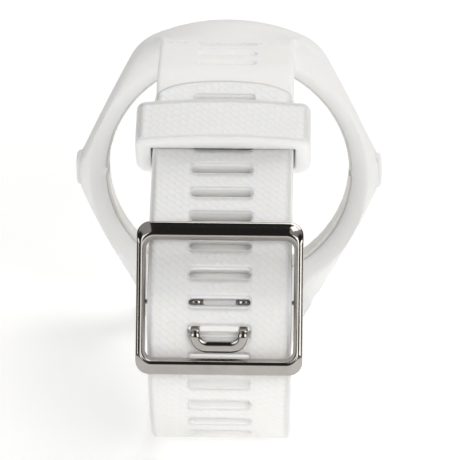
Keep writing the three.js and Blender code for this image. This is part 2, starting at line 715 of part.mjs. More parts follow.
place('cradle_ring', cradleRing(), silicone);
place('retaining_insert', retainingInsert(), hardPlastic);
place('hole_side_strap', holeSideStrap(), silicone);
place('buckle_side_strap', buckleSideStrap(), silicone);
place('keeper_loop', keeperLoop(), silicone);
place('left_button_pad', padSolid(-1, 0), silicone);
place('right_button_pad', padSolid(1, 0), silicone);
place('buckle_frame', buckleFrame(), gunmetal);
place('buckle_tongue', buckleTongue(), gunmetal);
place('spring_bar_tube', springBarTube(), steel);
place('spring_bar_pin_left', springBarPin(-1), steel);
place('spring_bar_pin_right', springBarPin(1), steel);
place('spring_bar_spring', springBarSpring(), steel);

// stand the band on its underside, centred over the origin
const box = new THREE.Box3().setFromObject(group);
group.position.set(0, -(box.min.y + box.max.y) / 2, -box.min.z);
group.updateMatrixWorld(true);

export default group;
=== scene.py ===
import math

import bmesh
import bpy
import numpy as np
from mathutils import Matrix, Vector


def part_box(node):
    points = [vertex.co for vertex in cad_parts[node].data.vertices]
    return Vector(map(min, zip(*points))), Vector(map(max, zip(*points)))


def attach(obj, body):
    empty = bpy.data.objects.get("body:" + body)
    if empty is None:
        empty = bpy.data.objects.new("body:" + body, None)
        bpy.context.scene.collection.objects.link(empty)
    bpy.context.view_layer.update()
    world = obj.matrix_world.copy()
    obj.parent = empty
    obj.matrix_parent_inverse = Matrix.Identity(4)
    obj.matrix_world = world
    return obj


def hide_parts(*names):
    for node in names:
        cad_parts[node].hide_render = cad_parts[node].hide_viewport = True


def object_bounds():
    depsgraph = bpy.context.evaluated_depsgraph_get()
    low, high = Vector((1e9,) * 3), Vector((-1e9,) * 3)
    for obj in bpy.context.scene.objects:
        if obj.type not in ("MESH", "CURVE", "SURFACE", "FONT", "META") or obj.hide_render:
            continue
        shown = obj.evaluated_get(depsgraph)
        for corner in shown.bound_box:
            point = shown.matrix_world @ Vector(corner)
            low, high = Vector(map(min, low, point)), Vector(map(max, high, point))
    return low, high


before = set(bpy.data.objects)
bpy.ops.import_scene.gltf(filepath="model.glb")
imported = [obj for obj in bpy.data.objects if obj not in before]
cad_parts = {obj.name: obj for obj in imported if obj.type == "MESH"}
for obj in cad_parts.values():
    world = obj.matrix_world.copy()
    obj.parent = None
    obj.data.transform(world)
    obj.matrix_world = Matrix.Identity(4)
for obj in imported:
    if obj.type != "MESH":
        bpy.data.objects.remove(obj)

cad_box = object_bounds()

# ------------------------------------------------------------------ where things are
# The band stands on its lower run. Lengths are in millimetres and become metres when a
# mesh is made. Side views are (y, z); the hinge of the buckle fixes the whole loop.

MM = 0.001


def node_box(node):
    """Lowest and highest corner of a CAD node, in millimetres."""
    low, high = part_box(node)
    return np.array(low) / MM, np.array(high) / MM


def along(lean):
    """Unit vector up the strap where it leans back by lean degrees from upright."""
    return np.array([math.sin(math.radians(lean)), math.cos(math.radians(lean))])


def outward(lean):
    """Unit vector out of the strap's outer face at that lean."""
    return np.array([-math.cos(math.radians(lean)), math.sin(math.radians(lean))])


def meet(p, d, q, e):
    """Where the line through p along d crosses the line through q along e."""
    gap = q - p
    return p + d * (gap[0] * e[1] - gap[1] * e[0]) / (d[0] * e[1] - d[1] * e[0])


GAP = 0.3
STRAP_WIDTH = 21.7
STRAP_THICK = 2.2
LEAN_BELOW = 10
LEAN_ABOVE = 44
LEAN_KEEPER = 61.5
LEAN_TOP = 88
FRAME_LEAN = 27
HUB_RADIUS = 1.8
BORE_RADIUS = 0.95
KINK_RADIUS = 5.0

tube_low, tube_high = node_box("spring_bar_tube")
hinge = (tube_low[1:] + tube_high[1:]) / 2
kink_cut = KINK_RADIUS / math.cos(math.radians((LEAN_ABOVE - LEAN_BELOW) / 2)) - KINK_RADIUS
hinge_depth = STRAP_THICK + GAP + HUB_RADIUS + kink_cut
kink = hinge + outward(FRAME_LEAN) * hinge_depth

ring_low, ring_high = node_box("cradle_ring")
ring_far = ring_high[1]
ring_depth = 8.4
ring_near = ring_far - ring_depth
ring_middle = (ring_low[2] + ring_high[2]) / 2

# ------------------------------------------------------------------ camera
# Long lens, a little above the band and a little to its right, looking at the buckle.

VIEW_AZIMUTH = math.radians(1.45)
VIEW_ELEVATION = math.radians(26)
VIEW_DISTANCE = 0.430
LENS = 224.85
AIM_RIGHT = 0.00162
AIM_UP = 0.01084

forward = Vector((
    -math.sin(VIEW_AZIMUTH) * math.cos(VIEW_ELEVATION),
    math.cos(VIEW_AZIMUTH) * math.cos(VIEW_ELEVATION),
    -math.sin(VIEW_ELEVATION),
))
right = Vector((math.cos(VIEW_AZIMUTH), math.sin(VIEW_AZIMUTH), 0))
above = right.cross(forward)
camera = bpy.data.objects.new("camera", bpy.data.cameras.new("camera"))
bpy.context.collection.objects.link(camera)
camera.data.lens = LENS
camera.data.sensor_width = 36
aim = Vector((0, kink[0] * MM, kink[1] * MM)) + right * AIM_RIGHT + above * AIM_UP
camera.location = aim - forward * VIEW_DISTANCE
camera.rotation_euler = Matrix((right, above, -forward)).transposed().to_euler()
bpy.context.scene.camera = camera
bpy.context.scene.view_settings.view_transform = "Standard"

# ------------------------------------------------------------------ silicone skin: tools
# The strap halves and the cradle ring are one white silicone moulding. Its surface is
# gathered block by block as grids of points, which share their border points.


class Skin:
    """Points, their lay (across, along, relief) and the quads of one closed surface."""

    def __init__(self):
        self.points = []
        self.lay = []
        self.quads = []
        self.count = 0

    def add(self, points, lay=None):
        """Adds a grid of points; returns the grid of their numbers."""
        shape = points.shape[:-1]
        number = np.arange(self.count, self.count + int(np.prod(shape))).reshape(shape)
        self.points.append(points.reshape(-1, 3))
        self.lay.append(np.zeros((number.size, 3)) if lay is None else lay.reshape(-1, 3))
        self.count += number.size
        return number

    def join(self, number, rows_close=False, columns_close=False, keep=None):
        """Joins each point number of a grid to its neighbours down and across."""
        if rows_close:
            number = np.concatenate([number, number[:1]], axis=0)
        if columns_close:
            number = np.concatenate([number, number[:, :1]], axis=1)
        quads = np.stack([number[:-1, :-1], number[1:, :-1], number[1:, 1:], number[:-1, 1:]], -1)
        quads = quads.reshape(-1, 4) if keep is None else quads[keep]
        self.quads.append(quads)

    def build(self, name):
        """Makes the mesh object, merges the points that meet and turns faces outwards."""
        mesh = bpy.data.meshes.new(name)
        points = np.concatenate(self.points) * MM
        mesh.from_pydata(points.tolist(), [], np.concatenate(self.quads).tolist())
        lay = mesh.attributes.new("lay", "FLOAT_VECTOR", "POINT")
        lay.data.foreach_set("vector", np.concatenate(self.lay).astype(np.float32).ravel())
        edit = bmesh.new()
        edit.from_mesh(mesh)
        bmesh.ops.remove_doubles(edit, verts=edit.verts, dist=1e-7)
        bmesh.ops.dissolve_degenerate(edit, edges=edit.edges, dist=1e-7)
        bmesh.ops.recalc_face_normals(edit, faces=edit.faces)
        edit.to_mesh(mesh)
        edit.free()
        mesh.polygons.foreach_set("use_smooth", [True] * len(mesh.polygons))
        piece = bpy.data.objects.new(name, mesh)
        bpy.context.collection.objects.link(piece)
        return piece


class Path:
    """A line through corners whose bends are arcs, with its place at any length. Under
    the outer face is to its right where under is 1, and to its left where it is -1."""

    def __init__(self, corners, radii, step=0.1, under=1):
        self.under = under
        points = [np.array(corners[0], float)]
        for before, corner, after, radius in zip(corners, corners[1:], corners[2:], radii):
            enter = (corner - before) / np.linalg.norm(corner - before)
            leave = (after - corner) / np.linalg.norm(after - corner)
            turn = math.atan2(enter[0] * leave[1] - enter[1] * leave[0], enter @ leave)
            start = corner - enter * radius * math.tan(abs(turn) / 2)
            side = np.array([-enter[1], enter[0]]) * math.copysign(radius, turn)
            swing = np.linspace(0, turn, max(3, int(abs(turn) * radius / step)))[:, None]
            points.extend(start + side - side * np.cos(swing)
                          + enter * radius * np.sin(np.abs(swing)))
        points.append(np.array(corners[-1], float))
        self.take(np.array(points))

    def take(self, points):
        """Keeps a polyline: the length at each point, and the heading there."""
        span = np.linalg.norm(np.diff(points, axis=0), axis=1)
        keep = np.append(True, span > 1e-6)
        points = points[keep]
        step = np.diff(points, axis=0)
        span = np.linalg.norm(step, axis=1)
        self.points = points
        self.length = np.append(0, np.cumsum(span))
        heading = np.unwrap(np.arctan2(step[:, 1], step[:, 0]))
        middle = (self.length[1:] + self.length[:-1]) / 2
        self.heading = np.interp(self.length, middle, heading)
        return self

    def nearest(self, place):
        """Length at the point nearest to a place."""
        fine = np.linspace(0, self.length[-1], 8000)
        y = np.interp(fine, self.length, self.points[:, 0])
        z = np.interp(fine, self.length, self.points[:, 1])
        return fine[np.argmin((y - place[0]) ** 2 + (z - place[1]) ** 2)]

    def surface(self, s, across, depth):
        """Points at length s, across the strap, at a depth under the outer face."""
        y = np.interp(s, self.length, self.points[:, 0])
        z = np.interp(s, self.length, self.points[:, 1])
        heading = np.interp(s, self.length, self.heading)
        deep = self.under * depth
        return np.stack([across, y + np.sin(heading) * deep, z - np.cos(heading) * deep], -1)


def smooth(x):
    """Ramp from 0 to 1 with level ends."""
    x = np.clip(x, 0, 1)
    return x * x * (3 - 2 * x)


EDGE_ROUND = 0.6
SLOT_LENGTH = 9.5
SLOT_WIDTH = 1.4
SLOT_PITCH = 4.5
SLOT_RIM = 0.18
SLOT_ROWS = 6
BRIDGE_ROWS = 9
INNER_COLUMNS = 32
OUTER_COLUMNS = 18
slot_reach = SLOT_LENGTH / 2 + SLOT_RIM
slot_half = SLOT_WIDTH / 2 + SLOT_RIM
slot_straight = (SLOT_LENGTH - SLOT_WIDTH) / 2
flat_half = STRAP_WIDTH / 2 - EDGE_ROUND
face_columns = INNER_COLUMNS + 2 * OUTER_COLUMNS

# one turn round the strap's section: outer face, right edge, inner face, left edge, as
# the distance across and the share of the thickness under the outer face
side_columns = np.linspace(slot_reach, flat_half, OUTER_COLUMNS + 1)[1:]
face_across = np.concatenate([
    -side_columns[::-1], np.linspace(-slot_reach, slot_reach, INNER_COLUMNS + 1), side_columns,
])
corner = np.radians([0, 30, 60, 90])
corner_across = flat_half + EDGE_ROUND * np.sin(corner)
corner_depth = EDGE_ROUND * (1 - np.cos(corner)) / STRAP_THICK
edge_across = np.concatenate([corner_across[1:], [STRAP_WIDTH / 2], corner_across[:-1][::-1]])
edge_depth = np.concatenate([corner_depth[1:], [0.5], 1 - corner_depth[:-1][::-1]])
section_across = np.concatenate([
    face_across, edge_across[:-1], face_across[::-1], -edge_across[:-1],
])
section_depth = np.concatenate([
    np.zeros(face_columns + 1), edge_depth[:-1], np.ones(face_columns + 1), 1 - edge_depth[:-1],
])
EDGE_STEPS = len(edge_across)
section_size = len(section_across)


ROW_PITCH = 0.90
SCALE_LENGTH = 1.42
ROW_LEAN = math.radians(40)
SCALE_ARC = 0.14
SCALE_EDGE = 0.72
SCALE_FOOT = 0.3
SCALE_DEPTH = 0.1


def scales_sunk(across, run):
    """How far the outer face lies under the tops of its moulded scales. In each of two
    sets of slanting rows, half a pitch apart, a scale rises evenly to a rounded edge and
    drops, and the higher set shows."""
    over = (run * math.cos(ROW_LEAN) - across * math.sin(ROW_LEAN)) / (2 * ROW_PITCH)
    beside = (across * math.cos(ROW_LEAN) + run * math.sin(ROW_LEAN)) / SCALE_LENGTH
    height = np.zeros_like(over)
    for half in (0.0, 0.5):
        rise = (over + half) % 1
        edge = SCALE_EDGE + SCALE_ARC * np.sqrt(1 - (2 * ((beside + half) % 1) - 1) ** 2)
        scale = SCALE_FOOT + (1 - SCALE_FOOT) * rise / edge
        height = np.maximum(height, np.where(rise < edge, scale, 0))
    return SCALE_DEPTH * (1 - height)


def slot_narrowing(s, slots):
    """Half width that the slot columns take at length s: it follows the round end of a
    slot beside one, and eases back to the slots' full reach between them."""
    away = np.min(np.abs(s[:, None] - np.array(slots)[None, :]), axis=1)
    cap = slot_straight + np.sqrt(np.clip(slot_half ** 2 - away ** 2, 0, None))
    ease = slot_straight + slot_half * smooth((away - slot_half) / 1.2)
    return np.where(away <= slot_half, cap, ease)


def slot_rows(slots, start, end, spacing):
    """Lengths of the rows from start to end, with a few across each slot and between."""
    swing = np.sin(np.linspace(-np.pi / 2, np.pi / 2, SLOT_ROWS + 1)) * slot_half
    blocks = []
    here = start
    for slot in slots:
        gap = slot - slot_half - here
        count = BRIDGE_ROWS if gap < 5 else max(2, int(gap / spacing))
        blocks.append(np.linspace(here, slot - slot_half, count + 1)[:-1])
        blocks.append(slot + swing[:-1])
        here = slot + slot_half
    count = max(2, int((end - here) / spacing))
    blocks.append(np.linspace(here, end, count + 1))
    return np.concatenate(blocks)


def strap(skin, path, s_rows, slots, thickness, warp=None, relief=None, cap=0, notches=()):
    """Surface of a slotted strap. Each row is one turn of the section at its length on
    the path; slot cells are left out and walled with rounded rims. The first cap rows
    close the thickness to a line. Returns the point numbers of the last row."""
    across = np.repeat(section_across[None, :], len(s_rows), 0)
    reach = slot_narrowing(s_rows, slots)[:, None]
    size = np.abs(across)
    stretch = (STRAP_WIDTH / 2 - reach) / (STRAP_WIDTH / 2 - slot_reach)
    outside = reach + (size - slot_reach) * stretch
    across = np.sign(across) * np.where(size <= slot_reach, size * reach / slot_reach, outside)
    s = np.repeat(s_rows[:, None], section_size, 1)
    if warp:
        s = warp(s, across)
    share = np.repeat(section_depth[None, :], len(s_rows), 0)
    for row in range(cap):
        swing = (row / cap) * np.pi / 2
        share[row] = 0.5 + (share[row] - 0.5) * math.sin(swing) ** 0.7
    raised = np.zeros_like(s) if relief is None else relief(s, across) * (share < 0.02)
    depth = share * thickness(s) + raised * scales_sunk(across, s)
    lay = np.stack([across, s, raised], -1)
    number = skin.add(path.surface(s, across, depth), lay)
    keep = np.ones((len(s_rows) - 1, section_size), bool)
    first = OUTER_COLUMNS
    last = OUTER_COLUMNS + INNER_COLUMNS
    under = face_columns + EDGE_STEPS + face_columns
    holes = []
    for slot in slots:
        low = int(np.argmin(np.abs(s_rows - (slot - slot_half))))
        high = int(np.argmin(np.abs(s_rows - (slot + slot_half))))
        holes.append((min(low, high), max(low, high), first, last, slot))
    for low, high, left_column, right_column in notches:
        holes.append((low, high, left_column, right_column, None))
    for low, high, left_column, right_column, slot in holes:
        keep[low:high, left_column:right_column] = False
        keep[low:high, under - right_column:under - left_column] = False
        rows = np.concatenate([
            np.full(right_column - left_column, low), np.arange(low, high),
            np.full(right_column - left_column, high), np.arange(high, low, -1),
        ])
        columns = np.concatenate([
            np.arange(left_column, right_column), np.full(high - low, right_column),
            np.arange(right_column, left_column, -1), np.full(high - low, left_column),
        ])
        top = number[rows, columns]
        bottom = number[rows, under - columns]
        if slot is None:
            skin.join(np.stack([top, bottom]), columns_close=True)
            continue
        ring_s = s[rows, columns]
        ring_across = across[rows, columns]
        ring_thick = thickness(ring_s)
        middle = np.clip(ring_across, -slot_straight, slot_straight)
        walls = [top]
        swing = np.radians([30, 60, 90])
        inward = np.concatenate([np.sin(swing), np.sin(swing[::-1])])
        down = np.concatenate([1 - np.cos(swing), np.cos(swing[::-1]) - 1])
        for step, (pull, fall) in enumerate(zip(inward, down)):
            shrink = (slot_half - SLOT_RIM * pull) / slot_half
            deep = SLOT_RIM * fall + (ring_thick if step >= len(swing) else 0)
            walls.append(skin.add(path.surface(
                slot + (ring_s - slot) * shrink,
                middle + (ring_across - middle) * shrink,
                np.broadcast_to(deep, ring_s.shape),
            )))
        walls.append(bottom)
        skin.join(np.stack(walls), columns_close=True)
    skin.join(number, columns_close=True, keep=keep)
    return number[-1]


# ------------------------------------------------------------------ hole-side strap
# The long half of the strap, with fifteen slots. It runs from the foot of the ring,
# along the ground, up the front, under both bars of the buckle and into the keeper.

FRONT_BEND = 22
BAR_BEND = 8
KINK_TO_BAR = 13.5
TAIL_LENGTH = 40.2
SLOTS_ABOVE = 8
SLOTS_BELOW = 6
FOOT_LOFT = 11.5
TIP_DROP = 3.9
TIP_ROUND = 0.7

bar_bend = kink + along(LEAN_ABOVE) * KINK_TO_BAR
tip = bar_bend + along(LEAN_KEEPER) * (TAIL_LENGTH - KINK_TO_BAR)
ground = np.array([kink[0], 0.0])
front_corner = meet(kink, along(LEAN_BELOW), ground, np.array([1.0, 0.0]))
tail_path = Path(
    [tip, bar_bend, kink, front_corner, np.array([ring_near - FOOT_LOFT, 0.0])],
    [BAR_BEND, KINK_RADIUS, FRONT_BEND], under=-1,
)


def tail_place(distance):
    """Place at a distance up the tail from the kink, bends taken as sharp corners but
    for the front one, which is followed round its arc."""
    if distance > KINK_TO_BAR:
        return bar_bend + along(LEAN_KEEPER) * (distance - KINK_TO_BAR)
    if distance >= 0:
        return kink + along(LEAN_ABOVE) * distance
    straight = np.linalg.norm(kink - front_corner)
    straight -= FRONT_BEND * math.tan(math.radians(45 + LEAN_BELOW / 2))
    if -distance <= straight:
        return kink + along(LEAN_BELOW) * distance
    lean = LEAN_BELOW - math.degrees((-distance - straight) / FRONT_BEND)
    centre = kink - along(LEAN_BELOW) * straight - outward(LEAN_BELOW) * FRONT_BEND
    return centre + outward(lean) * FRONT_BEND


tail_slots = [tail_path.nearest(tail_place(i * SLOT_PITCH))
              for i in range(SLOTS_ABOVE, -SLOTS_BELOW - 1, -1)]


def tip_drop(across):
    """How far the rounded tip falls back at a distance across: little in the middle,
    quickly at the corners."""
    share = np.clip(np.abs(across) / (STRAP_WIDTH / 2), 0, 1)
    return TIP_DROP * (0.42 * share ** 2 + 0.58 * (1 - np.sqrt(1 - share ** 6)))


def tip_warp(s, across):
    """Moves rows near the tip back to its rounded outline; the slot columns only give
    way past the last slot."""
    near = 1 - smooth(s / (tail_slots[0] - slot_half - 0.2))
    wide = 1 - smooth(s / 10.5)
    beside = smooth((np.abs(across) - slot_reach) / 3)
    return s + tip_drop(across) * (near * (1 - beside) + wide * beside)


def tail_relief(s, across):
    """Strength of the scale pattern: full on the outer face, gone at the rims."""
    rim = smooth((STRAP_WIDTH / 2 - np.abs(across)) / 1.2)
    foot = 1 - smooth((s - tail_slots[-1] - 8) / 12)
    to_slot = np.min(np.abs(s[..., None] - np.array(tail_slots)), axis=-1) - SLOT_WIDTH / 2
    beyond = np.hypot(
        np.clip(to_slot, 0, None), np.clip(np.abs(across) - slot_straight, 0, None),
    )
    return rim * foot * smooth((beyond - 0.2) / 0.4)


skin = Skin()
cap_rows = TIP_ROUND * (1 - np.cos(np.linspace(0, np.pi / 2, 5)))
tail_rows = slot_rows(tail_slots, TIP_ROUND, tail_path.length[-1], 0.6)
tail_end = strap(
    skin, tail_path, np.concatenate([cap_rows[:-1], tail_rows]), tail_slots,
    lambda s: np.full(np.shape(s), STRAP_THICK), tip_warp, tail_relief, cap=4,
)

# ------------------------------------------------------------------ buckle-side strap
# The short half of the strap. It leaves the crown of the ring with three vents, passes
# under the tail and curls round the spring bar, with a notch for each leg of the tongue.

TAIL_TO_TOP = 0.7
TOP_RISE = 22.0
TOP_BEND = 12
CROWN_LOFT = 6.0
VENTS = 3
VENT_FIRST = 3.0
VENT_PITCH = 3.6
CURL = math.radians(258)
TONGUE_WIDTH = 8.7
TONGUE_LEG = 1.5

layer = STRAP_THICK + GAP
lower_line = kink - outward(LEAN_ABOVE) * layer
keeper_line = bar_bend - outward(LEAN_KEEPER) * layer
top_run = np.array([bar_bend[0] + TAIL_LENGTH * TAIL_TO_TOP, kink[1] + TOP_RISE])
inner_bend = meet(lower_line, along(LEAN_ABOVE), keeper_line, along(LEAN_KEEPER))
top_bend = meet(keeper_line, along(LEAN_KEEPER), top_run, along(LEAN_TOP))
top_end = meet(top_run, along(LEAN_TOP), np.array([ring_near - CROWN_LOFT, 0]), np.array([0, 1]))
foot = lower_line + along(LEAN_ABOVE) * ((hinge - lower_line) @ along(LEAN_ABOVE))
foot_radius = np.linalg.norm(foot - hinge)

curl_turn = np.linspace(CURL, 0, 160)[:-1]
curl_radius = foot_radius + (HUB_RADIUS - foot_radius) * smooth(curl_turn / (np.pi * 0.8))
curl_angle = math.atan2(*(foot - hinge)[::-1]) + curl_turn
curl_points = hinge + curl_radius[:, None] * np.stack([np.cos(curl_angle), np.sin(curl_angle)], 1)
short_path = Path([foot, inner_bend, top_bend, top_end], [BAR_BEND, TOP_BEND])
short_path.take(np.concatenate([curl_points, short_path.points]))
foot_length = short_path.nearest(foot)


def short_thickness(s):
    """Strap thickness: full beyond the bore, thinner over it, and the hub's wall round
    the curl."""
    past = s - foot_length
    over = STRAP_THICK - np.sqrt(np.clip(BORE_RADIUS ** 2 - np.clip(past, 0, None) ** 2, 0, None))
    hub = foot_radius - BORE_RADIUS
    wall = HUB_RADIUS - BORE_RADIUS
    curl = hub + (wall - hub) * smooth(-past / (foot_radius * np.pi * 0.8))
    return np.where(past >= 0, over, curl)


vents = [short_path.nearest(top_bend + along(LEAN_TOP) * (VENT_FIRST + i * VENT_PITCH))
         for i in range(VENTS)]
hub_rows = np.linspace(0.25, foot_length + BORE_RADIUS, 34)[:-1]
short_cap = 0.25 * (1 - np.cos(np.linspace(0, np.pi / 2, 4)))
short_rows = np.concatenate([
    short_cap[:-1], hub_rows,
    slot_rows(vents, foot_length + BORE_RADIUS, short_path.length[-1], 0.6),
])
leg_low = OUTER_COLUMNS + int(np.argmin(np.abs(
    face_across[OUTER_COLUMNS:] - (TONGUE_WIDTH / 2 - TONGUE_LEG - GAP))))
leg_high = OUTER_COLUMNS + int(np.argmin(np.abs(
    face_across[OUTER_COLUMNS:] - (TONGUE_WIDTH / 2 + GAP))))
notch_from = int(np.argmin(np.abs(short_rows - 1.2)))
notch_to = int(np.argmin(np.abs(short_rows - (foot_length + 1.6))))
leg_notches = [
    (notch_from, notch_to, leg_low, leg_high),
    (notch_from, notch_to, face_columns - leg_high, face_columns - leg_low),
]
short_end = strap(
    skin, short_path, short_rows, vents, short_thickness, cap=3, notches=leg_notches,
)

# ------------------------------------------------------------------ cradle ring
# Open ring that grips the watch case. Its crown and foot flow into the two straps, its
# sides taper to an ear for each button pad, and a cone leads in to the opening.

RING_SIDE_HALF = 25.0
RING_RADIUS = 27.2
EAR_HALF = 2.0
EAR_SLOPE = 0.48
CROWN_FILLET = 10
FOOT_FILLET = 5
CONE_RADIUS = 23.2
LIP_RADIUS = 20.75
LIP_DEPTH = 2.35
POCKET_RADIUS = 21.75
NEAR_ROUND = 1.8
SIDE_BACK = 2.4
CROWN_BACK = 6.4
CROWN_SPREAD = math.radians(27)
FOOT_SPREAD = math.radians(36)
SIDE_COLUMNS = 72
LOFT_ROWS = 18


def ring_edge(angle):
    """Distance from the ring's axis to its outline at an angle: upright ears, straight
    sloping sides, a round crown and a flat foot, with a fillet at the ends of a side."""
    slope = np.array([-EAR_SLOPE, 1]) / math.hypot(EAR_SLOPE, 1)
    inward = np.array([-slope[1], slope[0]])
    ear = np.array([RING_SIDE_HALF, EAR_HALF])
    depth = ear @ inward + CROWN_FILLET
    height = math.sqrt((RING_RADIUS - CROWN_FILLET) ** 2 - depth ** 2)
    centre = inward * depth + slope * height
    swing = np.linspace(math.atan(EAR_SLOPE), math.atan2(centre[1], centre[0]), 20)[:, None]
    fillet = centre + CROWN_FILLET * np.hstack([np.cos(swing), np.sin(swing)])
    swing = np.linspace(math.atan2(centre[1], centre[0]), np.pi / 2, 60)[1:, None]
    crown = RING_RADIUS * np.hstack([np.cos(swing), np.sin(swing)])
    ease = np.linspace(EAR_HALF - 0.9, EAR_HALF + 0.9, 9)
    knee = np.stack([
        RING_SIDE_HALF - EAR_SLOPE * (ease - EAR_HALF + 0.9) ** 2 / 3.6, ease,
    ], 1)
    foot_x = RING_SIDE_HALF - EAR_SLOPE * (RING_RADIUS - EAR_HALF)
    base = Path(
        [np.array([0, -RING_RADIUS]), np.array([foot_x, -RING_RADIUS]),
         np.array([RING_SIDE_HALF, -EAR_HALF])],
        [FOOT_FILLET],
    ).points[:-1]
    half = np.concatenate([base, knee[::-1] * [1, -1], knee, fillet, crown])
    run = np.append(0, np.cumsum(np.linalg.norm(np.diff(half, axis=0), axis=1)))
    fine = np.linspace(0, run[-1], 1500)
    x = np.interp(fine, run, half[:, 0])
    z = np.interp(fine, run, half[:, 1])
    folded = np.arctan2(np.sin(angle), np.abs(np.cos(angle)))
    return np.interp(folded, np.arctan2(z, x), np.hypot(x, z))


def ring_profile(edge, angle):
    """Radius and depth round the ring's section, from the end of the outer side over
    the near rim and down the cone to the lip, then the pocket and the far corner."""
    upright = np.abs(np.sin(angle)) ** 4
    back = SIDE_BACK + (CROWN_BACK - SIDE_BACK) * upright
    near = np.minimum(NEAR_ROUND, (edge - CONE_RADIUS) * 0.9)
    turn = np.radians([0, 25, 50, 90])
    profile = [(edge, ring_depth - back)]
    profile += [(edge - near * (1 - np.cos(a)), near * (1 - np.sin(a))) for a in turn]
    profile += [(place + 0 * edge, deep + 0 * edge) for place, deep in (
        (CONE_RADIUS, 0.05),
        (CONE_RADIUS - 0.45, 0.3),
        ((CONE_RADIUS + LIP_RADIUS) / 2, LIP_DEPTH * 0.55),
        (LIP_RADIUS, LIP_DEPTH - 0.1),
        (LIP_RADIUS - 0.06, LIP_DEPTH + 0.06),
        (LIP_RADIUS + 0.06, LIP_DEPTH + 0.2),
        (POCKET_RADIUS - 0.1, LIP_DEPTH + 0.22),
        (POCKET_RADIUS, LIP_DEPTH + 0.35),
        (POCKET_RADIUS, 5.4),
        (POCKET_RADIUS, ring_depth - 0.45),
        (POCKET_RADIUS + 0.12, ring_depth - 0.12),
        (POCKET_RADIUS + 0.45, ring_depth),
    )]
    inner = edge - (POCKET_RADIUS + 0.7)
    corner_in = np.minimum(inner, SIDE_BACK - 0.4 + (CROWN_BACK - SIDE_BACK) * upright)
    profile.append((edge - corner_in, 0 * edge + ring_depth))
    for a in np.radians([75, 60, 45, 30, 15]):
        profile.append((
            edge - corner_in * (1 - np.cos(a)),
            ring_depth - back * (1 - np.sin(a)),
        ))
    radius = np.stack([p[0] for p in profile], -1)
    depth = np.stack([p[1] for p in profile], -1)
    return radius, depth


def ring_angles():
    """Angles round the ring, clockwise from the left end of the crown, with as many
    columns on the crown and on the foot as the face of a strap has."""
    crown = np.linspace(np.pi / 2 + CROWN_SPREAD, np.pi / 2 - CROWN_SPREAD, face_columns + 1)
    foot_arc = np.linspace(FOOT_SPREAD, -FOOT_SPREAD, face_columns + 1) - np.pi / 2
    side = np.linspace(crown[-1], foot_arc[0], SIDE_COLUMNS + 1)[1:-1]
    other = np.linspace(foot_arc[-1], crown[0] - 2 * np.pi, SIDE_COLUMNS + 1)[1:-1]
    return np.concatenate([crown, side, foot_arc, other])


angle = ring_angles()
radius, depth = ring_profile(ring_edge(angle), angle)
ring_points = np.stack([
    radius * np.cos(angle)[:, None],
    ring_near + depth,
    ring_middle + radius * np.sin(angle)[:, None],
], -1)
ring_number = skin.add(ring_points)
patch_rows = EDGE_STEPS
crown_columns = np.arange(face_columns + 1)
foot_columns = face_columns + SIDE_COLUMNS + np.arange(face_columns + 1)
keep = np.ones((len(angle), ring_points.shape[1]), bool)
keep[crown_columns[:-1], :patch_rows] = False
keep[foot_columns[:-1], :patch_rows] = False
skin.join(ring_number, rows_close=True, columns_close=True, keep=keep)


def loft(strap_row, columns, heading):
    """Surface from a strap's last row to the border of the opening left for it in the
    ring. Each line is a cubic that leaves along the strap and arrives along the ring's
    own surface: back over the outer side, round the arms, or in towards the lip."""
    border_columns = np.concatenate([
        columns, np.full(patch_rows - 1, columns[-1]), columns[::-1],
        np.full(patch_rows - 1, columns[0]),
    ])
    border_rows = np.concatenate([
        np.zeros(face_columns + 1, int), np.arange(1, patch_rows),
        np.full(face_columns + 1, patch_rows), np.arange(patch_rows - 1, 0, -1),
    ])
    numbers = ring_number[border_columns, border_rows]
    points = np.concatenate(skin.points)
    start = points[strap_row]
    end = points[numbers]
    a = angle[border_columns]
    radial = np.stack([np.cos(a), 0 * a, np.sin(a)], -1)
    around = np.stack([-np.sin(a), 0 * a, np.cos(a)], -1)
    around *= np.sign(around[:, :1] * end[:, :1] + 1e-9)
    back = np.array([0.0, 1.0, 0.0])
    outer = (border_rows == 0).astype(float)
    inner = (border_rows == patch_rows).astype(float)
    side = 1 - outer - inner
    spread = np.ones(9) / 9
    weight = []
    for part in (outer, side, inner):
        wide = np.concatenate([part[-8:], part, part[:8]])
        weight.append(np.convolve(wide, spread, "same")[8:-8, None])
    arrive = weight[0] * back + weight[1] * around + weight[2] * (0.45 * back - 0.9 * radial)
    arrive /= np.linalg.norm(arrive, axis=1, keepdims=True)
    span = np.linalg.norm(end - start, axis=1, keepdims=True)
    leave = np.array([0.0, *heading])
    t = np.linspace(0, 1, LOFT_ROWS + 1)[1:-1, None, None]
    grid = ((2 * t ** 3 - 3 * t ** 2 + 1) * start + (t ** 3 - 2 * t ** 2 + t) * span * leave
            + (3 * t ** 2 - 2 * t ** 3) * end + (t ** 3 - t ** 2) * span * arrive)
    number = skin.add(grid)
    skin.join(np.concatenate([strap_row[None], number, numbers[None]]), columns_close=True)


loft(tail_end, foot_columns[::-1], (1.0, 0.0))
loft(short_end, crown_columns, along(LEAN_TOP))
band = skin.build("silicone_band")
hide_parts("cradle_ring", "hole_side_strap", "buckle_side_strap")
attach(band, "band")

# ------------------------------------------------------------------ shader tools
# Each finish is written as sums on sockets. The silicone comes first.


